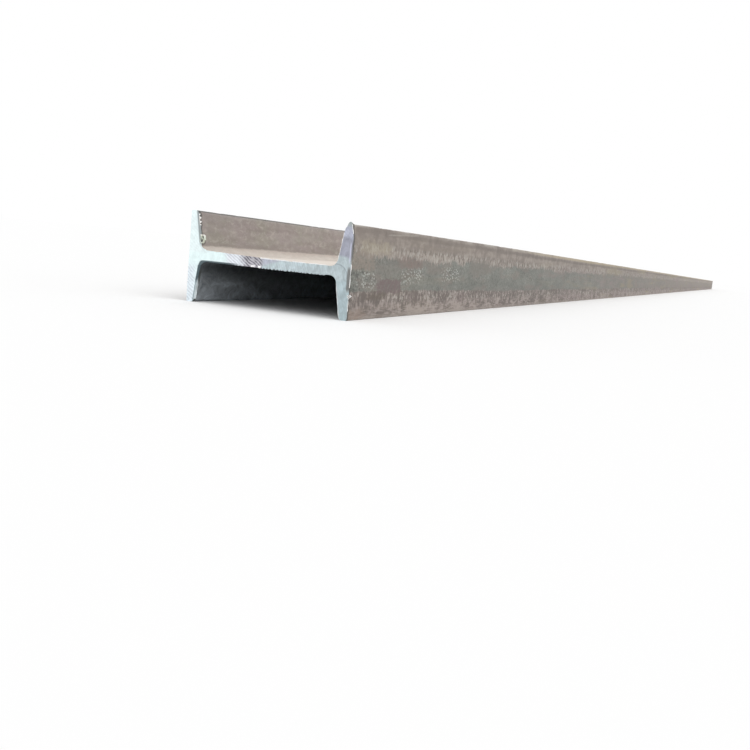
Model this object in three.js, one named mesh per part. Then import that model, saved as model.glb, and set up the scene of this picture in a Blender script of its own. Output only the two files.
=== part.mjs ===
// A hot-rolled steel I-beam with tapered flanges, 220 mm deep, in a 12 m stock length.
//
// The beam is one rolled piece: one web and two flanges with a single outline, sawn square at both ends.
// It lies as it is stacked in a stockyard, on the edges of its flanges with its web level, so that its section
// stands as an H. Millimetres, +Z up. The beam runs along Y, its depth lies along X and the flanges' width
// stands along Z. The origin is the middle of the footprint, on the floor.

import * as THREE from "three";

// ---- Driving dimensions -------------------------------------------------------------------------------------

const BEAM_LENGTH = 12000; // from saw cut to saw cut
const SECTION_DEPTH = 220; // across the outer faces of the two flanges
const FLANGE_WIDTH = 112; // from one edge of a flange to the other
const WEB_THICKNESS = 10.5;
const FLANGE_THICKNESS = 14; // halfway between the web's face and the flange's edge
const INNER_FACE_SLOPE = 1 / 6; // how much the flange thins for each millimetre towards its edge
const ROOT_RADIUS = 9.5; // fillet where the web runs into a flange
const TOE_RADIUS = 4.8; // rounding at a flange's edge, on its inner side
const ARRIS_RADIUS = 1.6; // rounding at a flange's edge, on its outer side

const ARC_DIVISIONS = 5; // three.js cuts an arc into twice as many chords

// ---- Finishes -----------------------------------------------------------------------------------------------

const millScale = new THREE.MeshStandardMaterial({ color: 0x8b8079, roughness: 0.72, metalness: 0.35 });
const sawnSteel = new THREE.MeshStandardMaterial({ color: 0xb7c0c6, roughness: 0.45, metalness: 0.8 });

// ---- Section ------------------------------------------------------------------------------------------------

// A quarter of the section's outline as sharp corners with the radius that rounds each of them, from the web's
// face out to the flange's outer face. X runs along the depth and Y along the flange's width, from the centre.
function quarterCorners() {
  const outerFace = SECTION_DEPTH / 2;
  const flangeEdge = FLANGE_WIDTH / 2;
  const webFace = WEB_THICKNESS / 2;
  const outstand = flangeEdge - webFace;
  const taper = (INNER_FACE_SLOPE * outstand) / 2;
  return [
    { at: new THREE.Vector2(outerFace - FLANGE_THICKNESS - taper, webFace), radius: ROOT_RADIUS },
    { at: new THREE.Vector2(outerFace - FLANGE_THICKNESS + taper, flangeEdge), radius: TOE_RADIUS },
    { at: new THREE.Vector2(outerFace, flangeEdge), radius: ARRIS_RADIUS },
  ];
}

// The same corners in another quarter of the section: signs of 1 or -1 mirror them.
function mirrored(corners, signX, signY) {
  return corners.map(({ at, radius }) => ({ at: new THREE.Vector2(at.x * signX, at.y * signY), radius }));
}

// Draws the arc that rounds a corner and is tangent to both of its sides, with the straight run that leads to it.
function addRoundedCorner(outline, previous, corner, next) {
  const toPrevious = previous.at.clone().sub(corner.at).normalize();
  const toNext = next.at.clone().sub(corner.at).normalize();
  const halfAngle = Math.acos(toPrevious.dot(toNext)) / 2;
  const tangentLength = corner.radius / Math.tan(halfAngle);
  const centreDistance = corner.radius / Math.sin(halfAngle);
  const bisector = toPrevious.clone().add(toNext).normalize();
  const centre = corner.at.clone().addScaledVector(bisector, centreDistance);
  const start = corner.at.clone().addScaledVector(toPrevious, tangentLength).sub(centre);
  const end = corner.at.clone().addScaledVector(toNext, tangentLength).sub(centre);
  const clockwise = toPrevious.cross(toNext) > 0;
  outline.absarc(centre.x, centre.y, corner.radius, start.angle(), end.angle(), clockwise);
}

// The whole outline, counter-clockwise round the H: each flange out from the web, along its face and back.
function sectionOutline() {
  const quarter = quarterCorners();
  const corners = [
    ...mirrored(quarter, 1, -1),
    ...mirrored(quarter, 1, 1).reverse(),
    ...mirrored(quarter, -1, 1),
    ...mirrored(quarter, -1, -1).reverse(),
  ];
  const outline = new THREE.Shape();
  corners.forEach((corner, i) => {
    const previous = corners[(i + corners.length - 1) % corners.length];
    const next = corners[(i + 1) % corners.length];
    addRoundedCorner(outline, previous, corner, next);
  });
  return outline;
}

// ---- Beam ---------------------------------------------------------------------------------------------------

// The section run out to the stock length, its ends sawn square.
function rolledBeam() {
  const geometry = new THREE.ExtrudeGeometry(sectionOutline(), {
    depth: BEAM_LENGTH,
    curveSegments: ARC_DIVISIONS,
    bevelEnabled: false,
  });
  const beam = new THREE.Mesh(geometry, [sawnSteel, millScale]);
  beam.name = "i_beam";
  beam.rotation.x = Math.PI / 2;
  beam.position.set(0, BEAM_LENGTH / 2, FLANGE_WIDTH / 2);
  return beam;
}

const part = new THREE.Group();
part.name = "steel_i_beam";
part.add(rolledBeam());

export default part;
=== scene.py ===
"""Looks of a hot-rolled steel I-beam with tapered flanges, 12 m long, lying on its flange edges.

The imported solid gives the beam's place and outer sizes. This script rolls a finer skin over the same
section, saws its two ends, leaves the saw's burr on them and sets the pale floor, the light and the
camera. Metres throughout. The beam runs along Y, its depth along X and its flanges' width along Z.
"""

import logging
import math
from dataclasses import dataclass, field
from enum import Enum

import bpy
import numpy as np
from mathutils import Matrix, Vector

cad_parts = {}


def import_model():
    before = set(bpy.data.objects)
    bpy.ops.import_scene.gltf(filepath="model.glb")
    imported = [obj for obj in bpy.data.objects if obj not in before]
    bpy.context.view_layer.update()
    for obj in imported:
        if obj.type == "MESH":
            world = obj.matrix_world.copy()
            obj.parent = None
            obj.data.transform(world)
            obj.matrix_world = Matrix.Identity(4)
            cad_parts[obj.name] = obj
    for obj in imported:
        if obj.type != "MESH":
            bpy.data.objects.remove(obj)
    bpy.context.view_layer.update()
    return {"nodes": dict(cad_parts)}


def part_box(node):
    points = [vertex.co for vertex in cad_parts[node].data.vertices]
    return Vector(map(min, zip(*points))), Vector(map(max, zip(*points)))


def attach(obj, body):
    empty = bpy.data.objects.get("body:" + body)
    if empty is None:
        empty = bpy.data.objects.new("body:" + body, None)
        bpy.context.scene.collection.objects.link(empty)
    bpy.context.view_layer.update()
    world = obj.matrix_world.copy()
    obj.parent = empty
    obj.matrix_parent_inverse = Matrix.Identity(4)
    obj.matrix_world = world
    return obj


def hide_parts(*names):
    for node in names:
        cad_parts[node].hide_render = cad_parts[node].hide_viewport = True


log = logging.getLogger("steel_i_beam")

Triple = tuple[float, float, float]
Colour = Triple
Material = bpy.types.Material
Socket = bpy.types.NodeSocket

BODY = "root"
NODE = "i_beam"
MM = 0.001
ROUNDING = 1e-9


def mm(*sizes: float) -> tuple[float, ...]:
    """Turns sizes in millimetres into metres."""
    return tuple(size * MM for size in sizes)


# ---- Seeded unevenness ---------------------------------------------------------------------------


@dataclass
class Unevenness:
    """Smooth random values between 0 and 1 that run along a length, the same on every run."""

    seed: int
    knots: int = 4096
    layer_shift: float = 17.3

    def __post_init__(self) -> None:
        """Draws the values at the knots."""
        self._drawn = np.random.default_rng(self.seed).random(self.knots)

    def at(self, place: np.ndarray) -> np.ndarray:
        """Reads the values at places counted in knots.

        Args:
            place: distances along the length, in knots.

        Returns:
            A value between 0 and 1 for each place.
        """
        whole = np.floor(place).astype(int)
        part = place - whole
        part = part * part * (3 - 2 * part)
        return self._drawn[whole % self.knots] * (1 - part) + self._drawn[(whole + 1) % self.knots] * part

    def layered(self, place: np.ndarray, layers: int = 3) -> np.ndarray:
        """Adds finer layers of half the height to the values, and scales the sum back to 0 to 1.

        Args:
            place: distances along the length, in knots of the coarsest layer.
            layers: how many layers are added up.

        Returns:
            A value between 0 and 1 for each place.
        """
        weights = [0.5**k for k in range(layers)]
        total = sum(w * self.at(place * 2**k + self.layer_shift * k) for k, w in enumerate(weights))
        return total / sum(weights)


def rising(value: np.ndarray, low: float, high: float) -> np.ndarray:
    """Rises evenly from 0 to 1 as a value passes from low to high, or falls where low is the higher."""
    return np.clip((value - low) / (high - low), 0, 1)


# ---- Section -------------------------------------------------------------------------------------


class End(Enum):
    """The beam's two sawn ends, by their direction along Y."""

    NEAR = -1
    FAR = 1


@dataclass(frozen=True)
class RolledSection:
    """The outline of a tapered-flange I-section, symmetric about its web and about its middle."""

    depth: float
    flange_width: float
    web: float = 10.5 * MM
    flange: float = 14 * MM
    slope: float = 1 / 6
    root_radius: float = 9.5 * MM
    toe_radius: float = 4.8 * MM
    arris_radius: float = 1.6 * MM
    arc_steps: int = 8
    arris_stride: int = 3
    face_steps: int = 6
    web_steps: int = 18
    across_steps: int = 6
    web_rows: int = 6
    finest_row: float = 0.12 * MM

    @property
    def edge(self) -> float:
        """Distance from the web's mid-plane to a flange's edge."""
        return self.flange_width / 2

    @property
    def face(self) -> float:
        """Distance from the middle of the depth to a flange's outer face."""
        return self.depth / 2

    @property
    def web_face(self) -> float:
        """Distance from the web's mid-plane to its face."""
        return self.web / 2

    @property
    def _lean(self) -> float:
        """Length of the inner face for each unit of its height."""
        return math.hypot(1, self.slope)

    def _inner_plane(self, height: float) -> float:
        """Place along the depth of the sloped inner face at a height over the web's mid-plane."""
        halfway = (self.edge + self.web_face) / 2
        return self.face - self.flange + self.slope * (height - halfway)

    @property
    def root(self) -> float:
        """Distance from the middle of the depth to where the web's flat face ends and the fillet starts."""
        return self._inner_plane(self.web_face + self.root_radius) - self.root_radius * self._lean

    @property
    def root_top(self) -> float:
        """Height over the web's mid-plane at which the root fillet runs out into the inner face."""
        return self.web_face + self.root_radius * (1 - self.slope / self._lean)

    @property
    def toe_start(self) -> float:
        """Height over the web's mid-plane at which the inner face turns into the toe."""
        return self.edge - self.toe_radius * (1 - self.slope / self._lean)

    def inner(self, height: float) -> float:
        """Finds the flange's inner side.

        Args:
            height: distance from the web's mid-plane, from the web's face to the flange's edge.

        Returns:
            Distance from the middle of the depth.
        """
        if height <= self.web_face:
            return self.root
        if height < self.root_top:
            rise = height - self.web_face - self.root_radius
            return self.root + math.sqrt(max(self.root_radius**2 - rise**2, 0))
        if height <= self.toe_start:
            return self._inner_plane(height)
        centre = self.edge - self.toe_radius
        middle = self._inner_plane(centre) + self.toe_radius * self._lean
        return middle - math.sqrt(max(self.toe_radius**2 - (height - centre) ** 2, 0))

    def outer(self, height: float) -> float:
        """Finds the flange's outer side.

        Args:
            height: distance from the web's mid-plane.

        Returns:
            Distance from the middle of the depth.
        """
        past = height - (self.edge - self.arris_radius)
        if past <= 0:
            return self.face
        return self.face - self.arris_radius + math.sqrt(max(self.arris_radius**2 - past**2, 0))

    def levels(self) -> list[float]:
        """Picks the heights at which the section is cut into rows, closer together round its arcs.

        Returns:
            Heights from one flange edge to the other, lowest first, over the web's mid-plane.
        """
        turn = np.linspace(0, 1, self.arc_steps + 1)
        lean = math.atan(self.slope)
        toe = self.edge - self.toe_radius * (1 - np.cos(turn * (math.pi / 2 - lean)))
        arris = self.edge - self.arris_radius * (1 - np.cos(turn[:: self.arris_stride] * math.pi / 2))
        root = self.web_face + self.root_radius * (1 - np.cos(turn * (math.pi / 2 - lean)))
        plane = np.linspace(self.root_top, self.toe_start, self.face_steps + 1)[1:-1]
        found = sorted([*toe, *arris, *root, *plane])
        kept = [found[0]]
        for level in found[1:-1]:
            if level - kept[-1] > self.finest_row:
                kept.append(level)
        upper = [*kept, self.edge]
        web = list(np.linspace(-self.web_face, self.web_face, self.web_rows + 1)[1:-1])
        return [-level for level in reversed(upper)] + web + upper


@dataclass
class SectionGrid:
    """The section's area cut into four-sided cells, and the loop of its corners that lies on the outline."""

    section: RolledSection
    points: list[tuple[float, float]] = field(default_factory=list)
    cells: list[tuple[int, int, int, int]] = field(default_factory=list)
    outline: list[int] = field(default_factory=list)

    def __post_init__(self) -> None:
        """Lays the rows of both flanges and the columns of the web, and strings up the outline."""
        levels = self.section.levels()
        left = self._flange(levels, -1)
        right = self._flange(levels, 1)
        web = [row for row, level in enumerate(levels) if abs(level) <= self.section.web_face + ROUNDING]
        lower, upper = self._web([left[row][0] for row in web], [right[row][0] for row in web])
        for side in (left, right):
            for below, above in zip(side, side[1:]):
                self._fill(below, above, flip=side is left)
        outer_right = [row[-1] for row in right]
        outer_left = [row[-1] for row in left]
        self.outline = [
            *[row[0] for row in left[: web[0] + 1]],
            *lower,
            *[row[0] for row in reversed(right[: web[0] + 1])],
            *right[0][1:-1],
            *outer_right,
            *reversed(right[-1][1:-1]),
            *[row[0] for row in reversed(right[web[-1] :])],
            *reversed(upper),
            *[row[0] for row in left[web[-1] :]],
            *left[-1][1:-1],
            *reversed(outer_left),
            *reversed(left[0][1:-1]),
        ]

    def _add(self, x: float, height: float) -> int:
        """Adds a corner and returns its number."""
        self.points.append((x, height))
        return len(self.points) - 1

    def _flange(self, levels: list[float], side: int) -> list[list[int]]:
        """Adds a flange's corners, a row for each level, from its inner side to its outer side.

        Args:
            levels: heights of the rows.
            side: 1 for the flange at +X, -1 for the other.

        Returns:
            The corner numbers of each row.
        """
        rows = []
        for level in levels:
            inner, outer = self.section.inner(abs(level)), self.section.outer(abs(level))
            across = np.linspace(inner, outer, self.section.across_steps + 1)
            rows.append([self._add(side * float(x), level) for x in across])
        return rows

    def _web(self, start: list[int], end: list[int]) -> tuple[list[int], list[int]]:
        """Fills the web between the two flanges.

        Args:
            start: the left flange's corners where the web joins it, lowest first.
            end: the right flange's, likewise.

        Returns:
            The corners on the web's lower face and on its upper face, from left to right.
        """
        columns = [start]
        root = self.section.root
        for x in np.linspace(-root, root, self.section.web_steps + 1)[1:-1]:
            columns.append([self._add(float(x), self.points[corner][1]) for corner in start])
        columns.append(end)
        for near, far in zip(columns, columns[1:]):
            self._fill(near, far, flip=True)
        inner = columns[1:-1]
        return [column[0] for column in inner], [column[-1] for column in inner]

    def _fill(self, first: list[int], second: list[int], flip: bool) -> None:
        """Adds the cells between two rows of corners.

        Args:
            first: one row's corners.
            second: the next row's.
            flip: whether the cells are turned over, so that all of them face -Y.
        """
        for k in range(len(first) - 1):
            cell = (first[k], first[k + 1], second[k + 1], second[k])
            self.cells.append(tuple(reversed(cell)) if flip else cell)


# ---- Shader sums ---------------------------------------------------------------------------------


@dataclass(frozen=True)
class Value:
    """A number that varies over a surface; sums with it are written with the usual signs."""

    sheet: "Sheet"
    socket: Socket

    def __add__(self, other: "Value | float") -> "Value":
        """Adds a term."""
        return self.sheet.math("ADD", self, other)

    def __sub__(self, other: "Value | float") -> "Value":
        """Takes a term away."""
        return self.sheet.math("SUBTRACT", self, other)

    def __rsub__(self, other: "Value | float") -> "Value":
        """Takes it away from a term."""
        return self.sheet.math("SUBTRACT", other, self)

    def __mul__(self, other: "Value | float") -> "Value":
        """Multiplies it by a term."""
        return self.sheet.math("MULTIPLY", self, other)

    def __truediv__(self, other: float) -> "Value":
        """Divides it by a number."""
        return self.sheet.math("MULTIPLY", self, 1 / other)

    def __abs__(self) -> "Value":
        """Leaves its sign out."""
        return self.sheet.math("ABSOLUTE", self)

    __radd__ = __add__
    __rmul__ = __mul__


Number = Value | float
Paint = Socket | Colour

# How far each axis of a cloudy pattern moves for each unit of its shift.
CLOUD_SHIFT = (1.0, 0.7, 1.3)


def colour_mix(tree: bpy.types.NodeTree) -> tuple[Socket, Socket, Socket, Socket]:
    """Adds a node that blends two colours.

    Args:
        tree: the material's nodes.

    Returns:
        Its share, its two colours and its result.
    """
    node = tree.nodes.new("ShaderNodeMix")
    node.data_type = "RGBA"
    first, second = (socket for socket in node.inputs if socket.type == "RGBA")
    result = next(socket for socket in node.outputs if socket.type == "RGBA")
    return node.inputs["Factor"], first, second, result


class Sheet:
    """Adds the nodes of one procedural material, so that a finish reads as a few lines of sums."""

    def __init__(self, name: str) -> None:
        """Starts an empty material.

        Args:
            name: the material's name.
        """
        self.material = bpy.data.materials.new(name)
        self.material.use_nodes = True
        self._tree = self.material.node_tree
        self._tree.nodes.clear()
        self._place = self._node("ShaderNodeTexCoord").outputs["Object"]
        split = self._node("ShaderNodeSeparateXYZ", Vector=self._place)
        self.x, self.y, self.z = (Value(self, axis) for axis in split.outputs)

    def _node(self, kind: str, **inputs: object) -> bpy.types.Node:
        """Adds a node and sets or links its inputs.

        Args:
            kind: the node's type.
            inputs: a value or a socket for each input, by name.

        Returns:
            The node.
        """
        node = self._tree.nodes.new(kind)
        for name, value in inputs.items():
            self._feed(node.inputs[name], value)
        return node

    def _feed(self, target: Socket, value: object) -> None:
        """Links a value to an input, or writes a number or a colour on it.

        Args:
            target: the input.
            value: what it gets.
        """
        if isinstance(value, Value):
            value = value.socket
        if isinstance(value, bpy.types.NodeSocket):
            self._tree.links.new(value, target)
        elif isinstance(value, tuple) and target.type == "RGBA":
            target.default_value = (*value, 1.0)
        else:
            target.default_value = value

    def math(self, operation: str, a: Number, b: Number = 0.0) -> Value:
        """Works out one sum.

        Args:
            operation: the Math node's operation.
            a: first term.
            b: second term, for the operations that take one.

        Returns:
            The result.
        """
        node = self._node("ShaderNodeMath")
        node.operation = operation
        for target, value in zip(node.inputs, (a, b)):
            self._feed(target, value)
        return Value(self, node.outputs[0])

    def ramp(self, value: Value, low: float, high: float) -> Value:
        """Rises smoothly from 0 to 1 as a value passes from low to high, or falls where low is the higher.

        Args:
            value: what is measured.
            low: where the result is 0.
            high: where the result is 1.

        Returns:
            A value between 0 and 1.
        """
        node = self._node("ShaderNodeMapRange")
        node.interpolation_type = "SMOOTHSTEP"
        if low <= high:
            ends = (low, high, 0.0, 1.0)
        else:
            ends = (high, low, 1.0, 0.0)
        self._feed(node.inputs["Value"], value)
        for name, end in zip(("From Min", "From Max", "To Min", "To Max"), ends):
            node.inputs[name].default_value = end
        return Value(self, node.outputs["Result"])

    def band(self, value: Value, low: float, high: float, soft: float) -> Value:
        """Gives 1 between two values, falling to 0 on either side.

        Args:
            value: what is measured.
            low: where the band starts.
            high: where it ends.
            soft: over what distance it fades, half of it inside the band.

        Returns:
            A value between 0 and 1.
        """
        half = soft / 2
        return self.ramp(value, low - half, low + half) * self.ramp(value, high + half, high - half)

    def _stretched(self, size: Triple, shift: Triple) -> Socket:
        """Gives places counted in lengths of a given size, for a pattern whose marks have that size.

        Args:
            size: the pattern's size along X, Y and Z, in metres.
            shift: moves the pattern, in sizes.

        Returns:
            The places.
        """
        node = self._node("ShaderNodeVectorMath")
        node.operation = "MULTIPLY_ADD"
        self._feed(node.inputs[0], self._place)
        node.inputs[1].default_value = tuple(1 / s for s in size)
        node.inputs[2].default_value = shift
        return node.outputs[0]

    def noise(
        self, size: Triple, shift: float, detail: float, roughness: float = 0.5, swirl: float = 0.0
    ) -> Value:
        """Gives a cloudy pattern.

        Args:
            size: the size of its clouds along X, Y and Z, in metres.
            shift: picks another part of the pattern.
            detail: how many finer layers it has.
            roughness: how strong those layers are.
            swirl: how far the clouds are drawn about, in sizes.

        Returns:
            Values between 0 and 1, mostly near 0.5.
        """
        place = self._stretched(size, tuple(shift * share for share in CLOUD_SHIFT))
        node = self._node("ShaderNodeTexNoise", Vector=place, Scale=1.0, Detail=detail, Roughness=roughness)
        node.inputs["Distortion"].default_value = swirl
        return Value(self, node.outputs["Fac"])

    def cells(self, size: Triple, shift: float) -> Value:
        """Gives the distance to the nearest of many scattered spots.

        Args:
            size: the spacing of the spots along X, Y and Z, in metres.
            shift: picks another part of the pattern.

        Returns:
            Distances in spacings, 0 at a spot.
        """
        place = self._stretched(size, (shift, shift, shift))
        return Value(self, self._node("ShaderNodeTexVoronoi", Vector=place, Scale=1.0).outputs["Distance"])

    def mix(self, share: Value, a: Paint, b: Paint) -> Socket:
        """Blends two colours.

        Args:
            share: how much of the second shows, 0 to 1.
            a: first colour.
            b: second colour.

        Returns:
            The blend.
        """
        factor, first, second, result = colour_mix(self._tree)
        for target, value in ((factor, share), (first, a), (second, b)):
            self._feed(target, value)
        return result

    def shade(self, colour: Paint, by: Value) -> Socket:
        """Multiplies a colour by a grey value.

        Args:
            colour: the colour.
            by: the grey value.

        Returns:
            The product.
        """
        node = self._node("ShaderNodeVectorMath")
        node.operation = "SCALE"
        self._feed(node.inputs[0], colour)
        self._feed(node.inputs["Scale"], by)
        return node.outputs[0]

    def tint(self, colour: Paint, by: Colour) -> Socket:
        """Multiplies a colour by another.

        Args:
            colour: the colour.
            by: the other one.

        Returns:
            The product.
        """
        node = self._node("ShaderNodeVectorMath")
        node.operation = "MULTIPLY"
        self._feed(node.inputs[0], colour)
        node.inputs[1].default_value = by
        return node.outputs[0]

    def bump(self, height: Value, depth: float) -> Socket:
        """Turns a height pattern into relief.

        Args:
            height: values between 0 and 1.
            depth: the relief's depth at 1, in metres.

        Returns:
            The normals.
        """
        return self._node("ShaderNodeBump", Height=height, Distance=depth, Strength=1.0).outputs["Normal"]

    def finish(self, colour: Socket, roughness: Number, metallic: Number, normal: Socket) -> Material:
        """Ends the material.

        Args:
            colour: its base colour.
            roughness: 0 for a mirror, 1 for chalk.
            metallic: 0 for dirt and rust, 1 for bare metal.
            normal: its relief.

        Returns:
            The material.
        """
        surface = self._node("ShaderNodeBsdfPrincipled", Roughness=roughness, Metallic=metallic)
        self._feed(surface.inputs["Base Color"], colour)
        self._feed(surface.inputs["Normal"], normal)
        output = self._node("ShaderNodeOutputMaterial")
        self._tree.links.new(surface.outputs[0], output.inputs["Surface"])
        return self.material


# ---- Finishes ------------------------------------------------------------------------------------


@dataclass(frozen=True)
class Stain:
    """A patch of another tone on the right flange's outer face, which may climb away from the near end.

    Its ends fade over twice `soft`, and its upper and lower sides over 0.6 of it.
    """

    colour: Colour
    along: tuple[float, float]
    height: tuple[float, float]
    soft: float = 9 * MM
    cover: float = 0.75
    ragged: float = 1.0
    climb: float = 0.0


STAINS = (
    Stain((0.178, 0.134, 0.130), mm(82, 163), mm(32, 49), 5 * MM, 1.0, 0.6),
    Stain((0.225, 0.170, 0.150), mm(148, 246), mm(64, 78), 7 * MM),
    Stain((0.400, 0.352, 0.268), mm(22, 118), mm(79, 94), 10 * MM, 0.6),
    Stain((0.300, 0.225, 0.180), mm(-20, 46), mm(-9, 12), 12 * MM, 0.6),
    Stain((0.125, 0.100, 0.078), mm(60, 112), mm(23, 32), 7 * MM, 0.75),
    Stain((0.290, 0.244, 0.205), mm(-20, 70), mm(60, 80), 9 * MM, 0.8),
    Stain((0.215, 0.200, 0.180), mm(70, 165), mm(52, 72), 14 * MM, 0.6),
    Stain((0.205, 0.185, 0.162), mm(470, 590), mm(60, 86), 12 * MM),
    Stain((0.150, 0.112, 0.104), mm(415, 455), mm(14, 29), 8 * MM),
    Stain((0.165, 0.128, 0.120), mm(187, 236), mm(18, 31), 8 * MM, 0.6),
    Stain((0.480, 0.440, 0.395), mm(105, 215), mm(105.6, 106.8), 5 * MM, 0.75, 0.09, 0.045),
)


@dataclass(frozen=True)
class MillScale:
    """The skin of the rolled surfaces.

    The flanges' outer faces are warm grey with a grey-green band along the middle. The channel that lies
    open to the weather is warm grey with pale dust on its web, whose pale tone is partly painted sheen. The
    one under the web is blue-black scale, made darker by painted shade and paler in places by painted light.
    """

    section: RolledSection
    near_end: float
    warm: Colour = (0.238, 0.202, 0.178)
    tan: Colour = (0.350, 0.304, 0.268)
    dark: Colour = (0.140, 0.116, 0.102)
    green: Colour = (0.190, 0.194, 0.173)
    fleck: Colour = (0.450, 0.465, 0.430)
    rose: Colour = (0.392, 0.334, 0.308)
    umber: Colour = (0.152, 0.126, 0.112)
    channel: Colour = (0.392, 0.350, 0.328)
    channel_brown: Colour = (0.322, 0.282, 0.258)
    channel_rosy: Colour = (0.375, 0.318, 0.312)
    channel_olive: Colour = (0.352, 0.332, 0.282)
    scuff: Colour = (0.520, 0.472, 0.430)
    # Pale dust on the web, its tone partly painted sheen.
    dust_and_sheen: Colour = (0.780, 0.712, 0.640)
    dust_and_sheen_low: Colour = (0.720, 0.655, 0.600)
    # Worn edge of the web by the cut, painted pale as a highlight.
    lip: Colour = (1.000, 0.955, 0.880)
    dust_and_sheen_rosy: Colour = (0.640, 0.545, 0.480)
    # Blue-black scale under the web, made darker as painted shade.
    under_web: Colour = (0.200, 0.216, 0.232)
    rub: Colour = (0.440, 0.410, 0.372)
    sandy: Colour = (0.480, 0.405, 0.290)
    rosy: Colour = (0.275, 0.218, 0.212)
    ochre: Colour = (0.300, 0.258, 0.175)
    # Dark toe edge, and the strip by the cuts: heat tint with painted shadow of the burr.
    edge_dark_and_shadow: Colour = (0.080, 0.084, 0.076)
    roll_turn: float = 172 * MM
    sheet: Sheet = field(default_factory=lambda: Sheet("mill_scale"))

    @property
    def _along(self) -> Value:
        """Distance from the near end."""
        return self.sheet.y - self.near_end

    @property
    def _above(self) -> Value:
        """Distance over the web's mid-plane."""
        return self.sheet.z - self.section.edge

    def _stained(self, face: Socket) -> Socket:
        """Lays the stains on the right flange's outer face.

        Args:
            face: the face's colour.

        Returns:
            The colour with its stains.
        """
        sheet, along = self.sheet, self._along
        right = sheet.ramp(sheet.x, 0.0, 10 * MM)
        drift = 60 * MM * (sheet.noise(mm(14, 15, 8), 14.2, 4.0, 0.65) - 0.5)
        lift = 24 * MM * (sheet.noise(mm(12, 12, 9), 33.9, 4.0, 0.65) - 0.5)
        thin = sheet.ramp(sheet.noise(mm(5, 6, 5), 8.1, 3.0, 0.65), 0.34, 0.60)
        worn = right * (0.5 + 0.5 * thin)
        for stain in STAINS:
            level = sheet.z - stain.climb * (along - sum(stain.along) / 2)
            wide = sheet.band(along + stain.ragged * drift, *stain.along, 2 * stain.soft)
            tall = sheet.band(level + stain.ragged * lift, *stain.height, 0.6 * stain.soft)
            face = sheet.mix(stain.cover * wide * tall * worn, face, stain.colour)
        return face

    def _top_band(self) -> Socket:
        """Colours the upper band: soft clouds, short upright strokes, and a dark seam under a paler rim,
        which is wear with a painted highlight on the rounded edge.

        Returns:
            The colour.
        """
        sheet, along = self.sheet, self._along
        streaks = sheet.noise(mm(20, 120, 10), 5.2, 3.0, 0.55, 0.3)
        clouds = sheet.noise(mm(30, 26, 17), 16.1, 4.0, 0.6, 0.5)
        paler = 0.46 * sheet.band(sheet.z, 70 * MM, 84 * MM, 6 * MM) * sheet.band(along, 0.07, 0.6, 0.1)
        tone = 0.9 * clouds + 0.5 * streaks + paler - 0.05 * sheet.ramp(along, 0.12, 0.05)
        colour = sheet.mix(sheet.ramp(tone, 0.54, 0.88), self.warm, self.tan)
        strokes = sheet.noise(mm(8, 5.6, 9), 21.7, 4.0, 0.7, 0.4)
        reach = sheet.band(sheet.z, 71 * MM, 89 * MM, 8 * MM)
        colour = sheet.mix(sheet.ramp(strokes, 0.51, 0.60) * reach, colour, self.rub)
        heavy = 0.3 + 0.5 * sheet.ramp(along, 0.1, 0.2)
        colour = sheet.mix(sheet.ramp(strokes, 0.48, 0.40) * reach * heavy, colour, self.dark)
        long = sheet.noise(mm(20, 80, 20), 27.9, 3.0, 0.6)
        far = sheet.ramp(along, 0.5, 1.3)
        seam = sheet.band(sheet.z + 7 * MM * long + 3 * MM * far, 104.5 * MM, 110.5 * MM, 4 * MM)
        seam = seam * sheet.ramp(along, 20 * MM, 160 * MM)
        colour = sheet.mix(0.5 * seam, colour, self.dark)
        # The pale rim on the rounded top edge is wear and a painted highlight.
        rim = sheet.ramp(sheet.z + 2.6 * MM * far, 107.5 * MM, 110 * MM)
        rim = rim * sheet.ramp(long + 0.2 * far, 0.46, 0.60)
        return sheet.mix(0.78 * rim, colour, sheet.mix(far, self.rub, self.sandy))

    def _middle_band(self) -> Socket:
        """Colours the middle band: fine grey-green scale, with pale flecks that the roll left at each turn.

        Returns:
            The colour.
        """
        sheet, along = self.sheet, self._along
        mottle = sheet.noise(mm(6, 7, 3.6), 4.4, 4.0, 0.7, 0.8)
        slow = sheet.noise(mm(50, 70, 26), 9.9, 3.0, 0.55)
        contrast = 1.8 + 1.4 * sheet.ramp(along, 0.20, 0.08)
        colour = sheet.shade(self.green, 0.6 + 0.8 * slow + contrast * (mottle - 0.5))
        brown = sheet.ramp(sheet.noise(mm(50, 80, 16), 13.3, 4.0, 0.6), 0.48, 0.64)
        warmer = 0.42 * sheet.ramp(along, 0.9, 2.6) + 0.3 * sheet.ramp(along, 2.6, 5.5)
        colour = sheet.mix(0.5 * brown + warmer, colour, self.warm)
        turn = sheet.math("FRACT", along / self.roll_turn + 0.5)
        level = sheet.z - 10 * MM * sheet.ramp(along, 60 * MM, 300 * MM)
        struck = sheet.band(turn, 0.42, 0.94, 0.16) * sheet.band(level, 38 * MM, 58 * MM, 8 * MM)
        patchy = sheet.ramp(sheet.noise(mm(30, 20, 11), 6.1, 3.0, 0.6), 0.30, 0.52)
        fresh = sheet.ramp(along, 12 * MM, 28 * MM) * (1 - 0.75 * sheet.ramp(along, 0.42, 0.56))
        struck = struck * patchy * fresh
        spacing = mm(5, 6.4, 3.3)
        gaps = sheet.ramp(sheet.cells(spacing, 2.95), 0.54, 0.24)
        colour = sheet.mix(0.6 * gaps * struck, colour, self.dark)
        spots = sheet.ramp(sheet.cells(spacing, 2.6), 0.50, 0.26)
        return sheet.mix(0.9 * spots * struck, colour, self.fleck)

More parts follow.
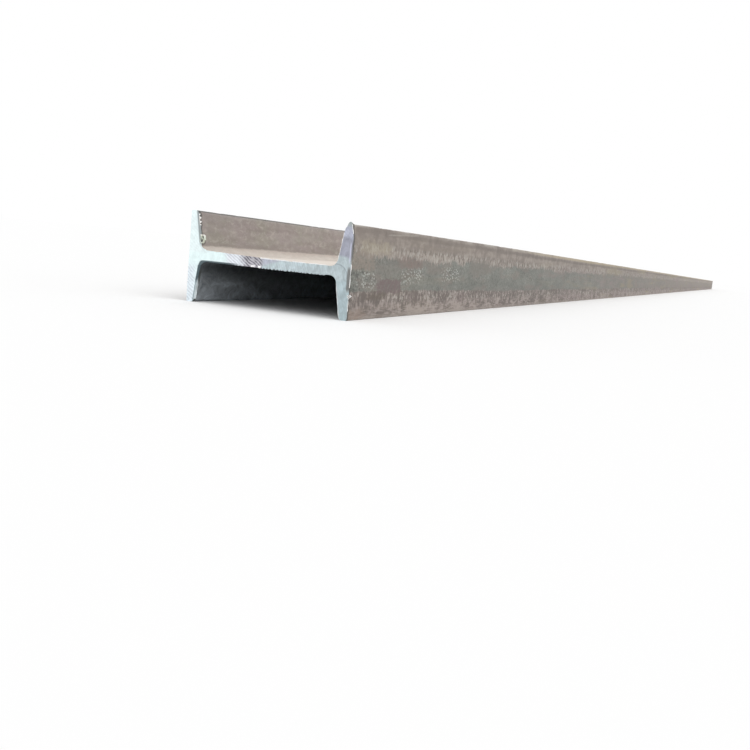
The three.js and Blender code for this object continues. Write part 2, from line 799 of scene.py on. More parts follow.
    def _low_band(self) -> Socket:
        """Colours the lower band: rose and brown flames that climb from the edge, with a tan line along it.

        Returns:
            The colour.
        """
        sheet, along = self.sheet, self._along
        flames = sheet.noise(mm(7, 4, 10), 1.9, 4.0, 0.62, 0.6)
        streaks = sheet.noise(mm(7, 18, 2.6), 31.3, 4.0, 0.62, 0.5)
        slow = sheet.noise(mm(50, 42, 22), 18.4, 3.0, 0.6)
        climbs = sheet.ramp(sheet.z, 7 * MM, 18 * MM)
        lively = sheet.ramp(along, 0.08, 0.17)
        swing = climbs * (flames - 0.5) + (0.75 - 0.4 * climbs) * (streaks - 0.5)
        tone = (0.9 + 0.4 * lively) * swing + 0.8 * slow + 0.08 * lively - 0.05
        tone = tone - 0.05 * sheet.band(along, 0.5, 2.2, 0.6)
        colour = sheet.mix(sheet.ramp(tone, 0.24, 0.54), self.umber, self.rose)
        tongues = sheet.noise(mm(8, 7.5, 9), 3.6, 5.0, 0.72, 0.8)
        reach = 0.95 * sheet.band(sheet.z, 19 * MM, 38 * MM, 7 * MM) * (0.4 + 0.6 * lively)
        colour = sheet.mix(sheet.ramp(tongues, 0.53, 0.60) * reach, colour, self.rub)
        colour = sheet.mix(sheet.ramp(tongues, 0.54, 0.46) * reach, colour, self.umber)
        brim = sheet.band(sheet.z + 5 * MM * tongues, 30 * MM, 38 * MM, 5 * MM)
        brim = brim * lively * sheet.ramp(slow, 0.58, 0.44)
        colour = sheet.mix(0.5 * brim, colour, self.umber)
        foot = sheet.ramp(sheet.z + 6 * MM * streaks, 10 * MM, 5 * MM)
        return sheet.mix(0.6 * foot, colour, self.tan)

    def _outer_face(self) -> Socket:
        """Colours the flanges' outer faces, with ragged borders between their bands.

        Returns:
            The colour.
        """
        sheet, along = self.sheet, self._along
        fingers = sheet.noise(mm(9, 6, 18), 3.1, 4.0, 0.65, 0.5)
        drift = sheet.noise(mm(130, 130, 50), 8.7, 2.0)
        shift = 26 * MM * (fingers - 0.5) + 20 * MM * (drift - 0.5)
        shift = shift + 3.5 * MM * sheet.band(along, 0.06, 0.45, 0.06)
        upper = sheet.ramp(sheet.z + shift, 76 * MM, 80 * MM)
        lower = sheet.ramp(sheet.z - 0.35 * shift, 34 * MM, 31 * MM)
        face = sheet.mix(upper, self._middle_band(), self._top_band())
        face = sheet.shade(face, 1 + 0.13 * sheet.ramp(along, 3.4, 6.0))
        face = sheet.mix(lower, face, self._low_band())
        cloud = sheet.noise(mm(200, 500, 30), 41.5, 4.0, 0.6)
        cloud = cloud - 0.07 * sheet.ramp(sheet.z, 84 * MM, 104 * MM)
        shown = 0.1 + 0.5 * sheet.ramp(along, 0.6, 2.6)
        face = sheet.mix(sheet.ramp(cloud, 0.52, 0.64) * shown, face, self.rosy)
        face = sheet.mix(sheet.ramp(cloud, 0.46, 0.34) * shown, face, self.ochre)
        return self._stained(face)

    def _web_dust_and_sheen(self, level: Value, along: Value) -> Socket:
        """Colours the dust that lies on the web, its pale tone partly painted sheen, with a pale painted
        highlight on the worn edge by the cut in two places at the near end.

        Args:
            level: uneven height over the web's mid-plane.
            along: uneven distance from the near end.

        Returns:
            The colour.
        """
        sheet = self.sheet
        # The dust's pale tone is partly painted sheen.
        dust_and_sheen_tone = sheet.mix(sheet.ramp(level, 14 * MM, 7 * MM), self.dust_and_sheen_low, self.dust_and_sheen)
        blotches = sheet.ramp(sheet.noise(mm(10, 40, 6), 19.3, 4.0, 0.65), 0.40, 0.62)
        dust_and_sheen_tone = sheet.mix(0.35 * blotches, dust_and_sheen_tone, self.dust_and_sheen_rosy)
        dust_and_sheen_tone = sheet.shade(dust_and_sheen_tone, 0.85 + 0.22 * sheet.ramp(sheet.x, -95 * MM, -30 * MM))
        # A painted highlight on the worn edge by the cut, in two places.
        right = sheet.band(sheet.x, 18 * MM, 94 * MM, 10 * MM)
        middle = sheet.band(sheet.x, -15 * MM, -2 * MM, 5 * MM)
        brightened = (right + middle) * sheet.ramp(along, 96 * MM, 40 * MM)
        return sheet.mix(0.75 * brightened, dust_and_sheen_tone, self.lip)

    def _open_channel(self) -> Socket:
        """Colours the channel that lies open to the weather.

        Returns:
            The colour.
        """
        sheet, above, along = self.sheet, self._above, self._along
        mottle = sheet.noise(mm(8, 20, 8), 2.2, 3.0, 0.6)
        cloud = sheet.noise(mm(60, 160, 20), 3.6, 3.0, 0.55)
        colour = sheet.mix(sheet.ramp(cloud, 0.34, 0.64), self.channel_brown, self.channel)
        tint = sheet.noise(mm(30, 60, 20), 44.3, 3.0, 0.6)
        colour = sheet.mix(0.6 * sheet.ramp(tint, 0.50, 0.64), colour, self.channel_rosy)
        colour = sheet.mix(0.6 * sheet.ramp(tint, 0.50, 0.38), colour, self.channel_olive)
        scuffs = sheet.noise(mm(16, 14, 7), 6.6, 5.0, 0.7, 0.8)
        colour = sheet.mix(0.52 * sheet.ramp(scuffs, 0.50, 0.66), colour, self.scuff)
        colour = sheet.mix(0.6 * sheet.ramp(scuffs, 0.48, 0.34), colour, self.channel_brown)
        duller = sheet.ramp(above, 30 * MM, 50 * MM) * sheet.ramp(along, 0.2, 0.05)
        paler = sheet.ramp(above, 36 * MM, 22 * MM) * sheet.ramp(along, 0.3, 0.8)
        light = 0.95 - 0.06 * duller + 0.108 * paler + 0.26 * sheet.ramp(along, 0.02, 1.6)
        colour = sheet.shade(colour, light)
        level = above + 5 * MM * mottle
        foot = sheet.band(level, 16 * MM, 20 * MM, 2.5 * MM) * sheet.ramp(along, 0.45, 0.20)
        colour = sheet.mix(0.6 * foot, colour, self.channel_brown)
        dust_and_sheen_tone = self._web_dust_and_sheen(level, along + 90 * MM * mottle)
        colour = sheet.mix(0.95 * sheet.ramp(level, 17.5 * MM, 15 * MM), colour, dust_and_sheen_tone)
        colour = sheet.shade(colour, 0.8 + 0.4 * mottle)
        toe = sheet.ramp(above, self.section.edge - 2.4 * MM, self.section.edge - 1 * MM)
        return sheet.mix(toe * (0.8 - 0.65 * sheet.ramp(along, 0.1, 1.0)), colour, self.edge_dark_and_shadow)

    def _scale_and_shade_under_web(self) -> Socket:
        """Colours the channel under the web: dark scale with painted shade, darkest along the web, and
        painted light that makes it paler further in and low down by the near end.

        Returns:
            The colour.
        """
        sheet, above, along = self.sheet, self._above, self._along
        patches = sheet.noise(mm(14, 20, 12), 12.7, 5.0, 0.74, 0.8)
        # Painted shade: darkest along the web, lighter lower down.
        shade_near_web = 0.43 + 1.15 * sheet.ramp(above, -10 * MM, -40 * MM)
        # Painted light: paler from 0.1 m in and fading again towards 2.4 m, against the shade deep in the
        # channel.
        inside = sheet.ramp(along, 0.10, 0.36) * sheet.ramp(along, 2.4, 0.4)
        # Painted light: a lit wedge low down by the near end.
        brightened = sheet.ramp(along + 4.5 * above, -0.012, -0.082) * sheet.ramp(along, 0.03, 0.10)
        light = ((2.8 * patches - 0.25) * shade_near_web + 1.3 * inside) * (1 + 0.75 * brightened)
        return sheet.shade(self.under_web, light)

    def _scorch_and_shadow(self, colour: Socket) -> Socket:
        """Darkens a narrow ragged strip beside each saw cut, most of all towards the flanges' edges: heat
        tint and painted shadow of the burr, widened behind the curled chip as its painted shadow.

        Args:
            colour: the skin's colour.

        Returns:
            The colour with the strips.
        """
        sheet, above = self.sheet, self._above
        inward = -self.near_end - abs(sheet.y)
        ragged = sheet.noise(mm(5, 5, 7), 24.6, 3.0, 0.65)
        left = sheet.ramp(sheet.x, 0.0, -10 * MM)
        # Painted shadow of the curled chip on the left flange's inner face.
        curl_shadow = sheet.band(above, 15 * MM, 26 * MM, 5 * MM) * left
        reach = 9 * MM + 0.8 * MM * left + 5 * MM * curl_shadow
        strip = sheet.ramp(inward + 7 * MM * ragged - reach, 0.0, -2.5 * MM)
        sides = 0.1 + 0.7 * sheet.ramp(abs(above), 12 * MM, 20 * MM)
        return sheet.mix(strip * sides, colour, self.edge_dark_and_shadow)

    def material(self) -> Material:
        """Makes the finish.

        Returns:
            The material.
        """
        sheet, section = self.sheet, self.section
        across, above = abs(sheet.x), self._above
        under = sheet.ramp(above, 0.0, -1 * MM)
        channels = sheet.mix(under, self._open_channel(), self._scale_and_shade_under_web())
        outer = sheet.ramp(across, section.face - 5 * MM, section.face - 3 * MM)
        colour = sheet.mix(outer, channels, self._outer_face())
        tip = sheet.ramp(abs(above), section.edge - 2.4 * MM, section.edge - 0.4 * MM)
        arris = tip * sheet.ramp(across, section.face - 4 * MM, section.face - 0.5 * MM)
        worn = arris * sheet.ramp(sheet.noise(mm(6, 24, 6), 5.9, 3.0, 0.65), 0.44, 0.62)
        colour = sheet.mix(0.6 * worn, colour, self.rub)
        colour = self._scorch_and_shadow(colour)
        grain = sheet.noise(mm(1.2, 1.8, 1.2), 7.2, 2.0, 0.7)
        slow = sheet.noise(mm(400, 900, 400), 1.1, 1.0)
        colour = sheet.shade(colour, (0.88 + 0.24 * grain) * (0.9 + 0.2 * slow))
        pits = sheet.noise(mm(4, 6, 4), 4.8, 4.0, 0.65)
        roughness = 0.52 + 0.24 * pits - 0.18 * worn
        normal = sheet.bump(0.7 * pits + 0.3 * grain, 0.3 * MM)
        return sheet.finish(colour, roughness, 0.15 + 0.35 * worn, normal)


class Hatch(Enum):
    """The ways in which the blade's marks run: their angle in degrees and their pitch in metres."""

    COARSE = (48, 3.4 * MM)
    FINE = (54, 3.2 * MM)
    UPRIGHT = (0, 5.6 * MM)
    STEEP = (66, 3.1 * MM)
    FLAT = (20, 3.0 * MM)


@dataclass(frozen=True)
class Line:
    """A straight border on a sawn end, through a point; it faces what lies beyond, in degrees up from +X."""

    through: tuple[float, float]
    facing: float


@dataclass(frozen=True)
class SawPass:
    """One stretch of a sawn end: it lies beyond all its lines, and the blade's marks run one way on it."""

    steel: Colour
    lines: tuple[Line, ...]
    hatch: Hatch
    strength: float
    soft: float = 2.5 * MM
    wobble: float = 5 * MM
    shine: float = 0.8

    @property
    def bright(self) -> bool:
        """Whether the stretch is pale enough, as bare steel with painted glint, to get less mottling."""
        return self.steel[0] > self.shine


LEFT = Line(mm(-80, 0), 180)
RIGHT = Line(mm(92, 0), 0)

# The stretches' tones are partly the blade's own marks and partly painted reflection; the near-white ones on
# the left flange are painted glint.
SAW_PASSES = (
    SawPass((0.85, 0.955, 0.965), (Line(mm(0, 62), 90), LEFT), Hatch.COARSE, 0.06),
    SawPass((0.83, 0.915, 0.965), (Line(mm(-99, 30), 186), Line(mm(0, 46), 270)),
            Hatch.COARSE, 0.25, 7 * MM),
    SawPass((0.30, 0.37, 0.40), (Line(mm(-100.9, 9.3), -6.6), Line(mm(0, 46), 270), LEFT),
            Hatch.STEEP, 0.15, 0.5 * MM, 1 * MM),
    SawPass((0.52, 0.60, 0.63), (Line(mm(-99.7, 9.3), -6.6), Line(mm(0, 46), 270), LEFT),
            Hatch.STEEP, 0.15, 0.4 * MM, 1 * MM),
    SawPass((0.85, 0.89, 0.94), (Line(mm(-55, 56), 25),), Hatch.FINE, 0.30, 5 * MM),
    SawPass((0.54, 0.53, 0.56), (Line(mm(-33, 56), 25),), Hatch.FINE, 0.95, 6 * MM, 10 * MM),
    SawPass((1.00, 1.00, 1.00), (Line(mm(-21.5, 0), 0), Line(mm(-16, 0), 180), Line(mm(0, 52.7), 270)),
            Hatch.FLAT, 0.0, 0.8 * MM, 1 * MM),
    SawPass((1.00, 1.00, 1.00), (Line(mm(-12, 0), 0), Line(mm(-7.5, 0), 180), Line(mm(0, 52.7), 270)),
            Hatch.FLAT, 0.0, 0.8 * MM, 1 * MM),
    SawPass((0.50, 0.520, 0.595), (Line(mm(-6, 56), 0),), Hatch.FLAT, 0.1, 3.5 * MM, 3 * MM),
    SawPass((0.56, 0.65, 0.68), (Line(mm(9, 58.2), -72), Line(mm(-6, 56), 0)),
            Hatch.FLAT, 0.12, 2 * MM, 3 * MM),
    SawPass((0.50, 0.575, 0.60), (Line(mm(60, 56), 10),), Hatch.FLAT, 0.09, 10 * MM),
    SawPass((0.380, 0.390, 0.460), (Line(mm(95, 74), 80), RIGHT), Hatch.UPRIGHT, 0.06),
    SawPass((0.47, 0.49, 0.58), (Line(mm(104, 95), 75), RIGHT), Hatch.COARSE, 0.10, 2.5 * MM, 7 * MM),
    SawPass((0.48, 0.53, 0.52), (Line(mm(103, 108), 90), RIGHT), Hatch.STEEP, 0.15, 3 * MM),
    SawPass((0.45, 0.54, 0.57), (Line(mm(96, 45), -80), RIGHT), Hatch.FLAT, 0.09),
)


@dataclass(frozen=True)
class SawnSteel:
    """Bright steel of the sawn ends, in the stretches that the blade left, with the line where it turned;
    the stretches' tones are partly painted reflection, the near-white ones on the left flange painted glint.
    """

    section: RolledSection
    # Near-white start on the left flange: bare steel with painted glint.
    first: Colour = (0.830, 0.965, 0.970)
    groove: Colour = (0.220, 0.208, 0.262)
    passes: tuple[SawPass, ...] = SAW_PASSES
    turn_x: float = 92 * MM
    turn_z: float = 50 * MM
    turn_radius: float = 14 * MM
    turn_dark: Colour = (0.20, 0.23, 0.26)
    # Painted shade round the lower left root of the cut.
    root_shade_teal: Colour = (0.058, 0.086, 0.100)
    # Painted shade up the left flange's inner edge of the cut.
    grey: Colour = (0.330, 0.365, 0.375)
    drab: Colour = (0.190, 0.188, 0.180)
    pale: Colour = (0.600, 0.610, 0.740)
    sheet: Sheet = field(default_factory=lambda: Sheet("sawn_steel"))

    def _marks(self) -> dict[Hatch, Value]:
        """Draws the blade's scratches in each of their ways.

        Returns:
            Values between 0 and 1 across the scratches.
        """
        sheet = self.sheet
        wander = 9 * sheet.noise(mm(12, 12, 12), 3.7, 3.0)
        broken = sheet.ramp(sheet.noise(mm(6, 6, 6), 23.4, 2.0), 0.22, 0.50)
        marks = {}
        for hatch in Hatch:
            turn, pitch = hatch.value
            angle = math.radians(turn)
            run = math.cos(angle) * sheet.x + math.sin(angle) * sheet.z
            wave = sheet.math("SINE", (2 * math.pi / pitch) * run + wander)
            marks[hatch] = (0.5 + 0.5 * wave) * broken
        return marks

    def _beyond(self, saw: SawPass, wobble: Value) -> Value:
        """Finds how far a point belongs to a stretch.

        Args:
            saw: the stretch.
            wobble: unevenness of its borders, -0.5 to 0.5.

        Returns:
            A share, 1 inside the stretch.
        """
        sheet, share = self.sheet, 1.0
        for line in saw.lines:
            angle = math.radians(line.facing)
            cos, sin = math.cos(angle), math.sin(angle)
            start = cos * line.through[0] + sin * line.through[1]
            past = cos * sheet.x + sin * sheet.z + saw.wobble * wobble - start
            share = sheet.ramp(past, -saw.soft, saw.soft) * share
        return share

    def _turn_line(self) -> Value:
        """Draws the fine dark arc by the right root.

        Returns:
            A share, 1 on the arc.
        """
        sheet = self.sheet
        across, up = sheet.x - self.turn_x, sheet.z - self.turn_z
        away = sheet.math("SQRT", across * across + up * up)
        ring = sheet.ramp(abs(away - self.turn_radius), 1.3 * MM, 0.1 * MM)
        quarter = sheet.ramp(across, -9 * MM, -3 * MM) * sheet.ramp(up, -6 * MM, 0.0)
        return ring * quarter

    def _root_shade_rim(self) -> Value:
        """Finds the rim of painted shade round the lower left root, which fades away under the web.

        Returns:
            A share, 1 on the rim.
        """
        sheet, section = self.sheet, self.section
        over = sheet.z - (section.edge - section.web_face - section.root_radius)
        out = sheet.math("MAXIMUM", section.slope * over - section.root - sheet.x, 0.0)
        up = sheet.math("MAXIMUM", over, 0.0)
        away = sheet.math("POWER", sheet.math("POWER", out, 4) + sheet.math("POWER", up, 4), 0.25)
        reach = section.root_radius + 3.6 * MM - 2.1 * MM * sheet.ramp(sheet.x, -97 * MM, -86 * MM)
        rim = sheet.ramp(away - reach, 0.6 * MM, -0.6 * MM)
        return rim * sheet.ramp(sheet.x, -30 * MM, -52 * MM) * sheet.ramp(sheet.z, 22 * MM, 30 * MM)

    def _edge_rims(self, colour: Socket) -> Socket:
        """Colours narrow rims of the cut.

        They are painted shade round the lower left root and up the left flange, and darker by the right
        face, where a pale line runs beside them.

        Args:
            colour: the steel's colour.

        Returns:
            The colour with its rims.
        """
        sheet, section = self.sheet, self.section
        # Painted shade round the lower left root.
        colour = sheet.mix(0.92 * self._root_shade_rim(), colour, self.root_shade_teal)
        # Painted shade along the left flange's inner edge, high up.
        plane = section.inner(section.root_top) - section.slope * (section.edge + section.root_top)
        inward = sheet.x + section.slope * sheet.z + plane
        upper = sheet.ramp(sheet.z, 66 * MM, 76 * MM) * sheet.ramp(sheet.x, -80 * MM, -90 * MM)
        colour = sheet.mix(sheet.ramp(inward, -3.4 * MM, -1.6 * MM) * upper, colour, self.grey)
        outer = sheet.ramp(sheet.x, section.face - 4.6 * MM, section.face - 3.2 * MM)
        height = sheet.band(sheet.z, 34 * MM, 60.5 * MM, 6 * MM)
        colour = sheet.mix(0.9 * outer * height, colour, self.drab)
        height = sheet.band(sheet.z, 67 * MM, 89 * MM, 5 * MM)
        line = sheet.band(sheet.x, section.face - 2.9 * MM, section.face - 1.3 * MM, 0.9 * MM)
        colour = sheet.mix(0.8 * line * height, colour, self.pale)
        outer = sheet.ramp(sheet.x, section.face - 1.4 * MM, section.face - 0.8 * MM)
        return sheet.mix(0.6 * outer * height, colour, self.drab)

    def material(self) -> Material:
        """Makes the finish.

        Returns:
            The material.
        """
        sheet = self.sheet
        hatches = self._marks()
        wobble = sheet.noise(mm(6, 6, 6), 11.8, 3.0, 0.6) - 0.5
        colour, marks, dull = self.first, 0.0, 0.0
        for saw in self.passes:
            share = self._beyond(saw, wobble)
            colour = sheet.mix(share, colour, saw.steel)
            marks = marks + share * (saw.strength * hatches[saw.hatch] - marks)
            dull = dull + share * ((0.0 if saw.bright else 1.0) - dull)
        colour = sheet.mix(marks, colour, sheet.tint(colour, self.groove))
        cloud = sheet.noise(mm(6, 8, 9), 4.2, 4.0, 0.6, 0.5)
        colour = sheet.shade(colour, 1 + (0.42 + 0.55 * dull) * (cloud - 0.5))
        colour = sheet.mix(0.5 * self._turn_line(), colour, self.turn_dark)
        colour = self._edge_rims(colour)
        grain = sheet.noise(mm(1, 1, 1), 2.9, 2.0, 0.6)
        colour = sheet.shade(colour, 0.95 + 0.1 * grain)
        normal = sheet.bump(0.4 * grain - 0.6 * marks, 0.12 * MM)
        return sheet.finish(colour, 0.36 + 0.2 * grain, 0.85, normal)


@dataclass(frozen=True)
class TornSteel:
    """Bright torn metal of the saw's burr, tinted by the first rust."""

    bright: Colour = (0.90, 0.90, 0.90)
    rusty: Colour = (0.80, 0.73, 0.64)
    greenish: Colour = (0.78, 0.84, 0.74)
    dull: Colour = (0.60, 0.66, 0.68)

    def material(self) -> Material:
        """Makes the finish.

        Returns:
            The material.
        """
        sheet = Sheet("torn_steel")
        tint = sheet.noise(mm(12, 12, 12), 1.7, 3.0, 0.6)
        colour = sheet.mix(sheet.ramp(tint, 0.46, 0.66), self.bright, self.rusty)
        left = sheet.ramp(sheet.x, -60 * MM, -80 * MM)
        colour = sheet.mix(left * sheet.ramp(sheet.z, 84 * MM, 80 * MM), colour, self.greenish)
        colour = sheet.mix(left * sheet.ramp(sheet.z, 60 * MM, 50 * MM), colour, self.dull)
        low = left * sheet.band(sheet.z, 15 * MM, 40 * MM, 8 * MM)
        colour = sheet.shade(colour, 1 - 0.35 * low)
        grain = sheet.noise(mm(0.8, 0.8, 0.8), 6.6, 3.0, 0.7)
        colour = sheet.shade(colour, 0.75 + 0.5 * grain)
        normal = sheet.bump(grain, 0.2 * MM)
        return sheet.finish(colour, 0.35 + 0.2 * grain, 0.7, normal)


# ---- Pieces --------------------------------------------------------------------------------------


def placed(name: str, data: bpy.types.ID) -> bpy.types.Object:
    """Puts a mesh, a lamp or a camera into the scene.

    Args:
        name: its name there.
        data: the mesh, lamp or camera.

    Returns:
        The object that holds it.
    """
    thing = bpy.data.objects.new(name, data)
    bpy.context.scene.collection.objects.link(thing)
    return thing


def outward(loop: np.ndarray) -> np.ndarray:
    """Works out the directions out of a closed outline from its neighbouring corners.

    Args:
        loop: the outline's corners, counter-clockwise.

    Returns:
        A unit direction for each corner.
    """
    along = np.roll(loop, -1, axis=0) - np.roll(loop, 1, axis=0)
    return np.stack([along[:, 1], -along[:, 0]], axis=1) / np.linalg.norm(along, axis=1)[:, None]


@dataclass
class Skin:
    """Corners, faces and the material number of each face of a mesh that is being put together."""

    points: list[tuple[float, float, float]] = field(default_factory=list)
    faces: list[tuple[int, ...]] = field(default_factory=list)
    slots: list[int] = field(default_factory=list)

    def add(self, points: np.ndarray, faces: np.ndarray, slot: int | np.ndarray = 0) -> None:
        """Adds corners and the faces between them.

        Args:
            points: the corners.
            faces: the numbers of each face's corners, counted from the first added one.
            slot: the faces' material number, one for all or one for each.
        """
        first = len(self.points)
        self.points += [tuple(map(float, point)) for point in np.reshape(points, (-1, 3))]
        self.faces += [tuple(int(k) + first for k in face) for face in faces]
        self.slots += list(np.broadcast_to(slot, len(faces)))

    def add_tube(self, rings: np.ndarray, closed: bool, slots: int | np.ndarray = 0) -> None:
        """Adds a tube through rings of corners, with a cap on each end unless it closes on itself.

        Args:
            rings: the corners, as rings, corners of a ring, and places.
            closed: whether the last ring joins the first.
            slots: the faces' material number, one for all or one for each.
        """
        count, around = rings.shape[:2]
        corner = np.arange(count * around).reshape(count, around)
        following = np.roll(corner, -1, axis=0) if closed else corner[1:]
        start = corner if closed else corner[:-1]
        aside = (np.roll(start, -1, axis=1), np.roll(following, -1, axis=1))
        sides = np.stack([start, aside[0], aside[1], following], axis=2).reshape(-1, 4)
        caps = [] if closed else [tuple(corner[0][::-1]), tuple(corner[-1])]
        self.add(rings, [*map(tuple, sides), *caps], slots)

    def piece(self, name: str, materials: list[Material], sharp: float) -> bpy.types.Object:
        """Makes a piece of the beam that rides with it.

        Args:
            name: the piece's name.
            materials: its materials.
            sharp: faces that meet at a greater angle than this show an edge.

        Returns:
            The piece.
        """
        mesh = bpy.data.meshes.new(name)
        mesh.from_pydata(self.points, [], self.faces)
        mesh.update()
        for material in materials:
            mesh.materials.append(material)
        mesh.polygons.foreach_set("material_index", np.array(self.slots, dtype=np.int32))
        mesh.shade_smooth()
        mesh.set_sharp_from_angle(angle=sharp)
        piece = placed(name, mesh)
        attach(piece, BODY)
        return piece


@dataclass(frozen=True)
class SkinMap:
    """Lays the beam's unrolled skin and its two ends out on one square, with most room for the near end.

    The skin is cut into rows that lie above each other, each the whole way round the beam and one stretch
    of its length. The two ends lie above them, each cut into its web and its two flanges. The square's
    side, the gaps and the rows' heights are in the same units, and `end_scale` is how many of them a
    metre takes.
    """

    name: str = "OFBake"
    square: float = 1024.0
    gap: float = 4.0
    heights: tuple[float, ...] = (452.0, 146.0, 146.0, 146.0)
    first_stretch: float = 1.4
    crowding: float = 0.6
    under_web: float = 0.55
    face_margin: float = 2 * MM
    end_scale: float = 1.95 / MM

    def starts(self, stations: np.ndarray) -> np.ndarray:
        """Picks the stations at which the rows start, and the last station of all.

        Args:
            stations: places of the cross-sections along the beam.

        Returns:
            Their numbers.
        """
        rest = np.linspace(self.first_stretch, stations[-1] - stations[0], len(self.heights))
        return np.array([0, *np.searchsorted(stations - stations[0], rest[:-1]), len(stations) - 1])

    def round_beam(self, loop: np.ndarray) -> np.ndarray:
        """Measures how far round the beam each corner of the outline lies.

        Args:
            loop: the outline's corners, round the web's middle.

        Returns:
            Shares of the way round, with one more for the return to the first corner. The sheltered
            channel gets less room.
        """
        closed = np.vstack([loop, loop[:1]])
        middle = (closed[1:] + closed[:-1]) / 2
        between = np.abs(middle[:, 0]) < np.abs(loop[:, 0]).max() - self.face_margin
        under = (middle[:, 1] < 0) & between
        run = np.linalg.norm(np.diff(closed, axis=0), axis=1) * np.where(under, self.under_web, 1.0)
        return np.concatenate([[0], np.cumsum(run)]) / run.sum()

    def skin(self, stations: np.ndarray, loop: np.ndarray) -> np.ndarray:
        """Places the four-sided faces of the skin.

        Args:
            stations: places of the cross-sections along the beam.
            loop: the outline's corners, round the web's middle.

        Returns:
            The places on the square of each face's four corners, face by face along and round the beam.
        """
        starts = self.starts(stations)
        faces = np.arange(len(stations) - 1)
        row = np.searchsorted(starts, faces, side="right") - 1
        low = stations[starts[row]]
        reach = stations[starts[row + 1]] - low
        across = []
        for station in (stations[:-1], stations[1:]):
            share = (station - low) / reach
            crowded = np.log1p(share * reach / self.crowding) / np.log1p(reach / self.crowding)
            across.append(self.gap + (self.square - 2 * self.gap) * np.where(row == 0, crowded, share))
        floors = self.gap + np.concatenate([[0], np.cumsum(np.array(self.heights) + self.gap)[:-1]])
        turn = self.round_beam(loop)
        up = floors[row][:, None] + np.array(self.heights)[row][:, None] * turn
        start, end = (np.repeat(place[:, None], len(loop), axis=1) for place in across)
        corners = [(start, up[:, :-1]), (end, up[:, :-1]), (end, up[:, 1:]), (start, up[:, 1:])]
        places = np.stack([np.stack(corner, axis=-1) for corner in corners], axis=2)
        return places.reshape(-1, 4, 2) / self.square

    def end(self, end: End, points: np.ndarray, root: float) -> np.ndarray:
        """Places the four-sided faces of one end: left flange, right flange and web, side by side.

        Args:
            end: which end.
            points: the four corners of each face on the section, round the web's middle.
            root: distance from the middle of the depth to where the flanges start.

        Returns:
            The places on the square of each face's four corners.
        """
        across, up = points[..., 0], points[..., 1]
        wide, deep = np.abs(up).max(), np.abs(across).max() - root
        middle = across.mean(axis=1)
        in_web = np.abs(middle) < root
        flange = np.stack([up + wide, np.abs(across) - root], axis=-1)
        web = np.stack([across + root, up - up[in_web].min()], axis=-1)
        place = np.where(in_web[:, None, None], web, flange) * self.end_scale
        number = np.where(in_web, 2, np.where(middle < 0, 0, 1))[:, None]
        shift = number * (2 * wide * self.end_scale + self.gap) + self.gap
        floor = sum(self.heights) + (len(self.heights) + 1) * self.gap
        level = floor + (0 if end is End.NEAR else deep * self.end_scale + self.gap)
        return (place + np.stack([shift, np.full_like(shift, level)], axis=-1)) / self.square


